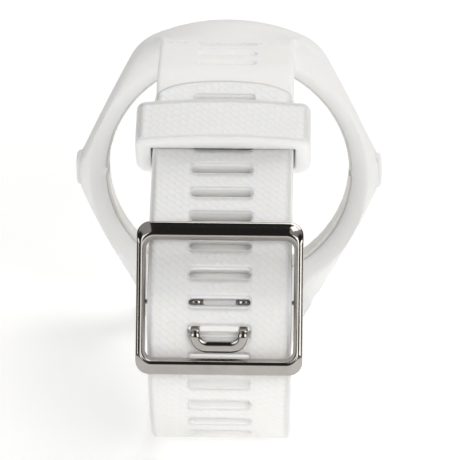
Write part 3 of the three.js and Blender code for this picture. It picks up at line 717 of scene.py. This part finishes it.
class Value:
    """A socket in a material. Arithmetic on it adds Math nodes to the material."""

    def __init__(self, shader, socket):
        self.shader = shader
        self.socket = socket

    def math(self, operation, *values):
        return self.shader.node("ShaderNodeMath", {"operation": operation}, values)

    def __add__(self, other):
        return self.math("ADD", self, other)

    def __radd__(self, other):
        return self.math("ADD", other, self)

    def __sub__(self, other):
        return self.math("SUBTRACT", self, other)

    def __rsub__(self, other):
        return self.math("SUBTRACT", other, self)

    def __mul__(self, other):
        return self.math("MULTIPLY", self, other)

    def __rmul__(self, other):
        return self.math("MULTIPLY", other, self)

    def __truediv__(self, other):
        return self.math("DIVIDE", self, other)

    def __pow__(self, other):
        return self.math("POWER", self, other)

    def part(self):
        """What is left after the whole turns are taken off."""
        return self.math("FRACT", self)

    def most(self, other):
        return self.math("MAXIMUM", self, other)

    def below(self, other):
        return self.math("LESS_THAN", self, other)


class Network:
    """A node tree whose nodes are added by kind."""

    def __init__(self, owner, output):
        owner.use_nodes = True
        self.tree = owner.node_tree
        self.surface = self.tree.nodes[output]

    def node(self, kind, settings, values, output=0):
        """Adds a node: its settings first, then the values or links of its sockets."""
        node = self.tree.nodes.new(kind)
        for setting, value in settings.items():
            if setting == "stops":
                ramp = node.color_ramp.elements
                while len(ramp) < len(value):
                    ramp.new(0.5)
                for element, (place, colour) in zip(ramp, value):
                    element.position = place
                    element.color = (*colour, 1)
            else:
                setattr(node, setting, value)
        pairs = values.items() if isinstance(values, dict) else enumerate(values)
        for socket, value in pairs:
            self.set(node.inputs[socket], value)
        return Value(self, node.outputs[output])

    def set(self, socket, value):
        """Links a value to a socket, or sets it there."""
        if isinstance(value, Value):
            self.tree.links.new(value.socket, socket)
        else:
            socket.default_value = value

    def noise(self, where, scale, detail=3, roughness=0.5):
        return self.node("ShaderNodeTexNoise", {}, {
            "Vector": where, "Scale": scale, "Detail": detail, "Roughness": roughness,
        })

    def bump(self, height, distance, strength=1.0, under=None):
        """Normal of a height, in metres for a height of 1."""
        values = {"Height": height, "Distance": distance, "Strength": strength}
        if under is not None:
            values["Normal"] = under
        return self.node("ShaderNodeBump", {}, values)

    def place(self):
        """Object coordinates, in metres."""
        return self.node("ShaderNodeTexCoord", {}, {}, "Object")

    def paint(self, factor, stops):
        """Colour along a ramp."""
        return self.node("ShaderNodeValToRGB", {"stops": stops}, {"Fac": factor})


class Shader(Network):
    """A material with the same constants all over, and what varies linked to it."""

    def __init__(self, name, **constants):
        self.material = bpy.data.materials.new(name)
        super().__init__(self.material, "Principled BSDF")
        for socket, value in constants.items():
            self.surface.inputs[socket.replace("_", " ")].default_value = value

    def vary(self, socket, value):
        """Links what changes over the surface to one of the finish's sockets."""
        self.set(self.surface.inputs[socket], value)


def fit(piece, material):
    """Gives a piece one material."""
    piece.data.materials.clear()
    piece.data.materials.append(material)


SCALE_BUMP = 0.0008
SCALES_BEFORE = 100.0


def scale_height(shader, across, run):
    """Height, 0 to 1, of overlapping scales in slanting rows. Two sets of rows lie half
    a pitch apart; in each, a scale rises to a rounded edge and drops, and the higher
    set shows. They are counted from far before the strap, so that no count is negative."""
    over = (run * math.cos(ROW_LEAN) - across * math.sin(ROW_LEAN)) / (2 * ROW_PITCH)
    beside = (across * math.cos(ROW_LEAN) + run * math.sin(ROW_LEAN)) / SCALE_LENGTH
    height = None
    for half in (0.0, 0.5):
        rise = (over + (half + SCALES_BEFORE)).part()
        middle = (beside + (half + SCALES_BEFORE)).part() * 2.0 - 1.0
        edge = (1.0 - middle * middle) ** 0.5 * SCALE_ARC + SCALE_EDGE
        scale = (rise / edge * (1 - SCALE_FOOT) + SCALE_FOOT) * rise.below(edge)
        height = scale if height is None else height.most(scale)
    return height


def silicone_finish():
    """White silicone: satin, a little uneven, with the moulded scales where the lay says so,
    and a very fine grain from the mould everywhere. Its base colour also carries painted
    shade: it is painted darker in the low part of each scale, the valleys between them."""
    shader = Shader(
        "silicone", IOR=1.41, Subsurface_Weight=0.6, Subsurface_Scale=0.0018,
        Subsurface_Radius=(1.0, 0.9, 0.75),
    )
    lay = shader.node("ShaderNodeAttribute", {"attribute_name": "lay"}, {}, "Vector")
    split = shader.node("ShaderNodeSeparateXYZ", {}, [lay])
    across, run, relief = (Value(shader, socket) for socket in split.socket.node.outputs)
    place = shader.place()
    cloud = shader.noise(place, 90)
    grain = shader.noise(place, 5200, 2)
    scales = scale_height(shader, across, run)
    # painted shade: the base colour is painted darker in the valleys between the scales, and this
    # is added to the cloud's random tone before the ramp
    painted_valley_shade = (1.0 - scales) * relief
    random_tone_and_valley_shade = cloud * 0.25 + painted_valley_shade ** 3 * 3.0
    shader.vary("Base Color", shader.paint(random_tone_and_valley_shade, [
        (0.0, (0.962, 0.957, 0.945)), (1.0, (0.80, 0.787, 0.755)),
    ]))
    shader.vary("Roughness", cloud * 0.12 + grain * 0.1 + 0.42)
    fine = shader.bump(grain, 0.000012)
    shader.vary("Normal", shader.bump(scales * relief, SCALE_BUMP, 1.0, fine))
    return shader.material


silicone = silicone_finish()
fit(band, silicone)

# ------------------------------------------------------------------ retaining insert
# Stiff off-white ring moulded into the cradle. It backs the lip, so that the rim of the
# watch case has something firm to snap behind.


def insert_finish():
    """Off-white moulded plastic with faint flow marks round the ring."""
    shader = Shader("insert_plastic", Roughness=0.35, IOR=1.49)
    place = shader.place()
    flow = shader.noise(place, 160, 4)
    grain = shader.noise(place, 3000, 2)
    shader.vary("Base Color", shader.paint(flow, [
        (0.3, (0.80, 0.79, 0.76)), (0.7, (0.74, 0.73, 0.70)),
    ]))
    shader.vary("Roughness", flow * 0.2 + 0.28)
    shader.vary("Normal", shader.bump(grain, 0.000015))
    return shader.material


fit(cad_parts["retaining_insert"], insert_finish())

# ------------------------------------------------------------------ keeper
# Moulded silicone loop that slides on both layers of strap and holds the tail down. Its
# outer face is crowned and carries the same scales as the strap.

KEEPER_FROM = 26.1
KEEPER_LENGTH = 8.4
KEEPER_WALL = 2.4
KEEPER_BACK = 1.4
KEEPER_DROP = 0.9
KEEPER_CORNERS = (1.7, 2.3)
PASSAGE_CORNERS = (0.25, 0.6)
KEEPER_HALF = STRAP_WIDTH / 2 + GAP + KEEPER_WALL
KEEPER_ROUND = 1.0
PASSAGE_RIM = 0.25
SCALES_FROM = 7.3
SCALES_LOWEST = 0.9
TOP_STEPS = 36
CORNER_STEPS = 8
FLANK_STEPS = 8
LENGTH_STEPS = 24


def loop_outline(half, crown, drop, low, top_corner, low_corner):
    """Half of a loop's outline in (x, out), from the middle of the top to the middle of
    the bottom: an arched top, a rounded corner, an upright side, a rounded corner and a
    flat bottom; then the other half as its mirror image."""
    swing = np.linspace(0, np.pi / 2, CORNER_STEPS + 1)[:, None]
    x = np.linspace(0, half - top_corner, TOP_STEPS + 1)[:, None]
    top = np.hstack([x, crown - drop * (x / (half - top_corner)) ** 2])
    height = (crown - drop) - top_corner
    bend = [half - top_corner, height] + top_corner * np.hstack([np.sin(swing), np.cos(swing)])
    foot_bend = [half - low_corner, low + low_corner] + low_corner * np.hstack(
        [np.cos(swing), -np.sin(swing)])
    flank = np.linspace(bend[-1], foot_bend[0], FLANK_STEPS + 1)
    base = np.linspace(foot_bend[-1], [0, low], TOP_STEPS + 1)
    side = np.concatenate([top, bend[1:], flank[1:], foot_bend[1:], base[1:]])
    return np.concatenate([side, side[-2:0:-1] * [-1, 1]])


def keeper_mesh():
    """The loop: its section, a rounded slab as long as the keeper, is carried between
    the outer and the inner outline; the crowned face takes the scales."""
    skin = Skin()
    low = -(2 * STRAP_THICK + 2 * GAP + KEEPER_BACK)
    outer = loop_outline(KEEPER_HALF, KEEPER_WALL + GAP, KEEPER_DROP, low, *KEEPER_CORNERS)
    inner = loop_outline(STRAP_WIDTH / 2 + GAP, GAP, 0.0, low + KEEPER_BACK, *PASSAGE_CORNERS)
    reach = np.linalg.norm(inner - outer, axis=1)
    half = KEEPER_LENGTH / 2
    edge = KEEPER_ROUND
    rim = PASSAGE_RIM
    swing = np.radians([0, 22, 45, 68, 90])
    length = np.concatenate([
        np.linspace(-half + edge, half - edge, LENGTH_STEPS + 1)[:-1],
        half - edge + edge * np.sin(swing), [half],
        [half - rim * 0.3, half - rim], [-half + rim, -half + rim * 0.3], [-half],
        -half + edge - edge * np.sin(swing[::-1]),
    ])[:-1]
    inset = np.concatenate([
        np.zeros(LENGTH_STEPS), edge * (1 - np.cos(swing)), [-rim],
        [-rim * 0.3, 0.0], [0.0, -rim * 0.3], [-rim],
        edge * (1 - np.cos(swing[::-1])),
    ])[:-1]
    from_inner = np.zeros(len(length), bool)
    passage = LENGTH_STEPS + len(swing)
    from_inner[passage:passage + 6] = True
    unit = (inner - outer) / reach[:, None]
    base = np.where(from_inner[None, :, None], inner[:, None], outer[:, None])
    flat = base + unit[:, None] * inset[None, :, None]
    middle = bar_bend + along(LEAN_KEEPER) * (KEEPER_FROM + half - KINK_TO_BAR)
    up = along(LEAN_KEEPER)
    out = outward(LEAN_KEEPER)
    run = np.broadcast_to(length, flat.shape[:2])
    points = np.stack([
        flat[..., 0],
        middle[0] + up[0] * run + out[0] * flat[..., 1],
        middle[1] + up[1] * run + out[1] * flat[..., 1],
    ], -1)
    on_face = (flat[..., 1] > SCALES_LOWEST) & ~from_inner[None, :]
    fade = smooth((half - 0.5 - np.abs(run)) / 0.7)
    fade = fade * smooth((KEEPER_HALF - np.abs(flat[..., 0])) / 1.2)
    lay = np.stack([flat[..., 0], SCALES_FROM - run, on_face * fade], -1)
    skin.join(skin.add(points, lay), rows_close=True, columns_close=True)
    return skin.build("keeper")


keeper = keeper_mesh()
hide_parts("keeper_loop")
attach(keeper, "keeper")
fit(keeper, silicone)

# ------------------------------------------------------------------ button pads
# Two soft pads on the ears of the ring. Each is pressed from outside, and its stem runs
# through the insert to a button on the side of the watch case.

PAD_BASE = 23.6
PAD_STEM = 1.1
PAD_SQUARENESS = 4.5


def pad_mesh(name, node, side):
    """A pad as rings from the middle of its face: a shallow dome, a rounded edge, an
    upright wall, then the narrower stem; the ring's outline goes from a rounded
    rectangle to a circle at the stem."""
    low, high = node_box(node)
    middle = (low + high) / 2
    half = (high - low) / 2
    top = max(abs(low[0]), abs(high[0]))
    end = min(abs(low[0]), abs(high[0]))
    swing = np.linspace(0, 2 * np.pi, 72, endpoint=False)
    power = 2 / PAD_SQUARENESS
    box = np.stack([
        half[1] * np.sign(np.cos(swing)) * np.abs(np.cos(swing)) ** power,
        half[2] * np.sign(np.sin(swing)) * np.abs(np.sin(swing)) ** power,
    ], -1)
    circle = PAD_STEM * np.stack([np.cos(swing), np.sin(swing)], -1)
    dome = [(0.0, 0.0), (0.3, 0.01), (0.55, 0.03), (0.72, 0.07), (0.84, 0.15), (0.92, 0.27),
            (0.97, 0.43), (0.995, 0.62), (1.0, 0.85)]
    rings = [(share * box, top - fall) for share, fall in dome]
    rings += [(box, PAD_BASE + 0.1), (0.97 * box, PAD_BASE), (0.6 * box, PAD_BASE)]
    rings += [(circle, PAD_BASE - 0.02), (circle, end + 0.2), (0.85 * circle, end)]
    rings.append((0 * circle, end))
    flat = np.stack([outline for outline, _ in rings])
    x = np.array([place for _, place in rings])
    points = np.stack([
        np.broadcast_to(side * x[:, None], flat.shape[:2]), middle[1] + flat[..., 0],
        middle[2] + flat[..., 1],
    ], -1)
    skin = Skin()
    skin.join(skin.add(points), columns_close=True)
    return skin.build(name)


for name, side in (("left", -1), ("right", 1)):
    pad = pad_mesh(name + "_pad", name + "_button_pad", side)
    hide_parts(name + "_button_pad")
    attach(pad, "pad_" + name)
    fit(pad, silicone)

# ------------------------------------------------------------------ buckle frame
# Die-cast frame, polished and plated dark. Each bar rises to a ridge near the window,
# and the side walls deepen into lugs that hold the ends of the spring bar.

FRAME_UP = 12.1
FRAME_DOWN = 10.9
FRAME_WALL = 1.4
FRAME_CORNER = 2.0
WINDOW_CORNER = 1.3
TOP_BAR = 2.8
BOTTOM_BAR = 2.5
FRAME_SINK = 2.4
LUG_DROP = 1.3
LUG_STEP = 2.4
frame_lift = hinge_depth - FRAME_SINK

# sections from under the outer edge, over the ridge, to under the window: the share of
# the way to the window, and the height over the frame's underside
BAR_SHARE = np.array([
    0.10, 0.03, 0.0, 0.0, 0.0, 0.015, 0.05, 0.12, 0.27, 0.42, 0.54, 0.62, 0.73, 0.79, 0.86,
    0.93, 0.98, 1.0, 1.0, 1.0, 0.97, 0.9,
])
BAR_RISE = np.array([
    0.0, 0.03, 0.1, 0.35, 0.62, 0.82, 0.97, 1.08, 1.42, 1.74, 1.93, 1.99, 1.99, 1.92, 1.68,
    1.36, 1.16, 0.98, 0.5, 0.1, 0.03, 0.0,
])
SIDE_SHARE = np.array([
    0.20, 0.06, 0.0, 0.0, 0.0, 0.015, 0.06, 0.13, 0.24, 0.36, 0.47, 0.53, 0.59, 0.66, 0.78,
    0.90, 0.97, 1.0, 1.0, 1.0, 0.94, 0.8,
])
SIDE_RISE = np.array([
    0.0, 0.03, 0.1, 0.7, 1.25, 1.50, 1.64, 1.71, 1.77, 1.84, 1.92, 1.97, 1.98, 1.91, 1.68,
    1.42, 1.22, 1.0, 0.5, 0.1, 0.03, 0.0,
])
window_half = STRAP_WIDTH / 2 + GAP


def polished_finish():
    """Dark chrome plating: nearly a mirror, with faint wiping marks."""
    shader = Shader("gunmetal", Metallic=1.0)
    place = shader.place()
    cloud = shader.noise(place, 240, 3)
    wipe = shader.noise(place, 2600, 2)
    shader.vary("Base Color", shader.paint(cloud, [
        (0.3, (0.45, 0.43, 0.405)), (0.7, (0.39, 0.37, 0.345)),
    ]))
    shader.vary("Roughness", cloud * 0.05 + wipe * 0.04 + 0.03)
    shader.vary("Normal", shader.bump(cloud, 0.000012))
    return shader.material


def rounded_outline(half, low, high, radius, corner_steps=9, side_steps=64, bar_steps=24):
    """A rectangle with rounded corners in (x, up), anticlockwise from the lower right
    corner's end: right side, top, left side, bottom."""
    swing = np.linspace(0, np.pi / 2, corner_steps + 1)[:-1]
    pieces = []
    corners = [(half, high), (-half, high), (-half, low), (half, low)]
    steps = [side_steps, bar_steps, side_steps, bar_steps]
    before = np.array([half, low + radius])
    for k, (x, up) in enumerate(corners):
        turn = k * np.pi / 2
        centre = np.array([
            x - math.copysign(radius, x), up - math.copysign(radius, up - (low + high) / 2),
        ])
        arc = centre + radius * np.stack([np.cos(swing + turn), np.sin(swing + turn)], -1)
        pieces.append(np.linspace(before, arc[0], steps[k] + 1)[:-1])
        pieces.append(arc)
        last = turn + np.pi / 2
        before = centre + radius * np.array([math.cos(last), math.sin(last)])
    return np.concatenate(pieces)


def frame_mesh():
    """The frame: at each point of its outline a closed section runs from the outer edge
    over the ridge to the window and back underneath."""
    skin = Skin()
    outer = rounded_outline(window_half + FRAME_WALL, -FRAME_DOWN, FRAME_UP, FRAME_CORNER)
    inner = rounded_outline(window_half, BOTTOM_BAR - FRAME_DOWN, FRAME_UP - TOP_BAR, WINDOW_CORNER)
    beside = (np.abs(inner[:, :1]) > window_half - 0.05).astype(float)
    spread = np.ones(7) / 7
    wrap = np.concatenate([beside[-3:, 0], beside[:, 0], beside[:3, 0]])
    side = np.convolve(wrap, spread, "valid")[:, None]
    share = BAR_SHARE * (1 - side) + SIDE_SHARE * side
    rise = BAR_RISE * (1 - side) + SIDE_RISE * side
    low = rise < 0.3
    flat = outer[:, None] + (inner - outer)[:, None] * share[..., None]
    up_at = (outer[:, 1] + inner[:, 1])[:, None] / 2
    ramp = np.clip((FRAME_UP - TOP_BAR - up_at) / (FRAME_UP - TOP_BAR - LUG_DROP), 0, 1)
    step = smooth((up_at + LUG_STEP + 0.3) / 0.5)
    deeper = beside * (frame_lift + LUG_DROP) * ramp * step
    out = frame_lift + rise - deeper * low
    up = flat[..., 1]
    points = np.stack([
        flat[..., 0],
        hinge[0] + along(FRAME_LEAN)[0] * up + outward(FRAME_LEAN)[0] * out,
        hinge[1] + along(FRAME_LEAN)[1] * up + outward(FRAME_LEAN)[1] * out,
    ], -1)
    skin.join(skin.add(points), rows_close=True, columns_close=True)
    return skin.build("frame")


gunmetal = polished_finish()
buckle = frame_mesh()
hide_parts("buckle_frame")
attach(buckle, "frame")
fit(buckle, gunmetal)

# ------------------------------------------------------------------ buckle tongue
# U of flattened plated wire. Its two eyes turn on the spring bar, its legs pass through
# one slot of the tail, and its cross bar lies on the strap.

TONGUE_THICK = 0.9
TONGUE_REACH = 7.7
TONGUE_CORNER = 1.9
TONGUE_CROSS = 1.8
EYE_RADIUS = 1.5
LEG_IN_EYE = 0.3
LEG_BENDS = [0.5, 0.75]
LEG_STEP = 0.03
WIRE_SQUARENESS = 2.7


def tongue_mesh():
    """The U as an oval section carried down one leg, round the cross bar and up the
    other, on the surface that its side view sweeps; then an eye at each end."""
    skin = Skin()
    slot = tail_place(-SLOT_PITCH)
    through = outward(LEAN_BELOW)
    mouth_in = slot - through * (STRAP_THICK + GAP)
    mouth_out = slot + through * (GAP + TONGUE_THICK / 2)
    end = tail_place(-TONGUE_REACH) + through * (GAP + TONGUE_THICK / 2)
    root = hinge - along(FRAME_LEAN) * (EYE_RADIUS - LEG_IN_EYE)
    knee = meet(root, along(FRAME_LEAN), mouth_in, through)
    side = Path([root, knee, mouth_out, end], LEG_BENDS, LEG_STEP)
    leg_x = (TONGUE_WIDTH - TONGUE_LEG) / 2
    reach = side.length[-1] - TONGUE_CROSS / 2
    plan = Path(
        [np.array([-leg_x, 0.0]), np.array([-leg_x, reach]), np.array([leg_x, reach]),
         np.array([leg_x, 0.0])],
        [TONGUE_CORNER, TONGUE_CORNER],
    )
    s = np.linspace(0, plan.length[-1], 220)
    x = np.interp(s, plan.length, plan.points[:, 0])
    down = np.interp(s, plan.length, plan.points[:, 1])
    heading = np.interp(s, plan.length, plan.heading)
    cross = smooth((down - (reach - TONGUE_CORNER)) / TONGUE_CORNER)
    width = TONGUE_LEG + (TONGUE_CROSS - TONGUE_LEG) * cross
    swing = np.linspace(0, 2 * np.pi, 28, endpoint=False)
    power = 2 / WIRE_SQUARENESS
    wide = np.sign(np.cos(swing)) * np.abs(np.cos(swing)) ** power / 2
    thick = np.sign(np.sin(swing)) * np.abs(np.sin(swing)) ** power * TONGUE_THICK / 2
    offset = width[:, None] * wide[None, :]
    across = x[:, None] - np.sin(heading)[:, None] * offset
    length = down[:, None] + np.cos(heading)[:, None] * offset
    points = side.surface(length, across, np.broadcast_to(thick, length.shape))
    number = skin.add(points)
    skin.join(number, columns_close=True)
    for row, turn in ((number[0], 1), (number[-1], -1)):
        centre = np.concatenate(skin.points)[row].mean(0)
        tip_number = skin.add(np.broadcast_to(centre, (len(row), 3)))
        skin.join(np.stack([row, tip_number][::turn]), columns_close=True)
    around = np.linspace(0, 2 * np.pi, 48, endpoint=False)[:, None]
    half = TONGUE_LEG / 2
    bore = np.array([BORE_RADIUS, BORE_RADIUS, BORE_RADIUS + 0.08, EYE_RADIUS - 0.25,
                     EYE_RADIUS - 0.07, EYE_RADIUS, EYE_RADIUS, EYE_RADIUS - 0.07,
                     EYE_RADIUS - 0.25, BORE_RADIUS + 0.08])
    beside = np.array([half - 0.08, 0.08 - half, -half, -half, 0.07 - half, 0.25 - half,
                       half - 0.25, half - 0.07, half, half])
    for middle in (-leg_x, leg_x):
        eye = np.stack([
            np.broadcast_to(middle + beside, (48, len(bore))),
            hinge[0] + bore * np.cos(around), hinge[1] + bore * np.sin(around),
        ], -1)
        skin.join(skin.add(eye), rows_close=True, columns_close=True)
    return skin.build("tongue")


tongue = tongue_mesh()
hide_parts("buckle_tongue")
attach(tongue, "tongue")
fit(tongue, gunmetal)

# ------------------------------------------------------------------ spring bar
# Drawn steel tube with two sprung pins. It passes through the curl of the short strap
# and the eyes of the tongue, and its pins hold it in the lugs of the frame.


def steel_finish():
    """Drawn stainless steel: fine lines along the bar."""
    shader = Shader("drawn_steel", Metallic=1.0, Roughness=0.3)
    place = shader.place()
    stretch = shader.node("ShaderNodeMapping", {}, {"Vector": place, "Scale": (0.06, 1.0, 1.0)})
    lines = shader.noise(stretch, 9000, 2)
    cloud = shader.noise(place, 400, 2)
    shader.vary("Base Color", shader.paint(cloud, [
        (0.3, (0.62, 0.61, 0.59)), (0.7, (0.55, 0.54, 0.52)),
    ]))
    shader.vary("Roughness", lines * 0.2 + 0.2)
    shader.vary("Normal", shader.bump(lines, 0.000006))
    return shader.material


steel = steel_finish()
for node in ("spring_bar_tube", "spring_bar_pin_left", "spring_bar_pin_right", "spring_bar_spring"):
    fit(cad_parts[node], steel)

# ------------------------------------------------------------------ floor and light
# A white table in a white room, with soft lights above. A dark screen in front of the
# buckle and one at each side are what its polished faces mirror.

FLOOR_HALF = 3.0
FLOOR_DROP = 0.0001
WALL_LIGHT = 0.30
CEILING_LIGHT = 0.45
DARK_LIGHT = 0.03


def area_light(name, place, size, power, colour):
    """Square soft light at a place in metres, turned to the middle of the band."""
    light = bpy.data.objects.new(name, bpy.data.lights.new(name, "AREA"))
    bpy.context.collection.objects.link(light)
    light.data.size = size
    light.data.energy = power
    light.data.color = colour
    light.location = place
    middle = (cad_box[0] + cad_box[1]) / 2
    light.rotation_euler = (middle - Vector(place)).to_track_quat("-Z", "Y").to_euler()
    return light


area_light("key", (0.25, 0.35, 0.65), 0.60, 2.7, (1.0, 0.99, 0.98))
area_light("front_right", (0.40, -0.60, 0.42), 0.50, 2.0, (1.0, 0.99, 0.975))
area_light("front_left", (-0.40, -0.60, 0.42), 0.50, 1.4, (1.0, 0.99, 0.975))

floor_shader = Shader("white_table", Roughness=0.6, Emission_Strength=0.3)
tint = floor_shader.noise(floor_shader.place(), 3.0)
for socket in ("Base Color", "Emission Color"):
    floor_shader.vary(socket, floor_shader.paint(tint, [
        (0.0, (0.93, 0.93, 0.93)), (1.0, (0.97, 0.97, 0.965)),
    ]))
floor_mesh = bpy.data.meshes.new("floor")
floor_mesh.from_pydata(
    [(x * FLOOR_HALF, y * FLOOR_HALF, -FLOOR_DROP)
     for x, y in ((-1, -1), (1, -1), (1, 1), (-1, 1))],
    [], [(0, 1, 2, 3)],
)
floor = bpy.data.objects.new("floor", floor_mesh)
bpy.context.collection.objects.link(floor)
fit(floor, floor_shader.material)

world = bpy.data.worlds.new("room")
bpy.context.scene.world = world
room = Network(world, "Background")
room.surface.inputs["Color"].default_value = (1, 1, 1, 1)
direction = room.node("ShaderNodeTexCoord", {}, {}, "Generated")
x, y, z = (
    Value(room, output) for output in
    room.node("ShaderNodeSeparateXYZ", {}, [direction]).socket.node.outputs
)


def ramp(value, start, end):
    """Smooth step from 0 at start to 1 at end."""
    return room.node("ShaderNodeMapRange", {"interpolation_type": "SMOOTHSTEP"}, {
        "Value": value, "From Min": start, "From Max": end, "To Min": 0.0, "To Max": 1.0,
    })


sideways = x.math("ABSOLUTE", x)
front_screen = ramp(sideways, 0.17, 0.08) * ramp(y, 0.62, 0.40) * ramp(z, 0.02, 0.12)
side_screens = ramp(sideways, 0.56, 0.74) * ramp(z, 0.06, 0.16)
shade = front_screen.most(side_screens)
white = z.most(0.0) * (CEILING_LIGHT - WALL_LIGHT) + WALL_LIGHT
room.set(room.surface.inputs["Strength"], (1.0 - shade) * white + DARK_LIGHT)
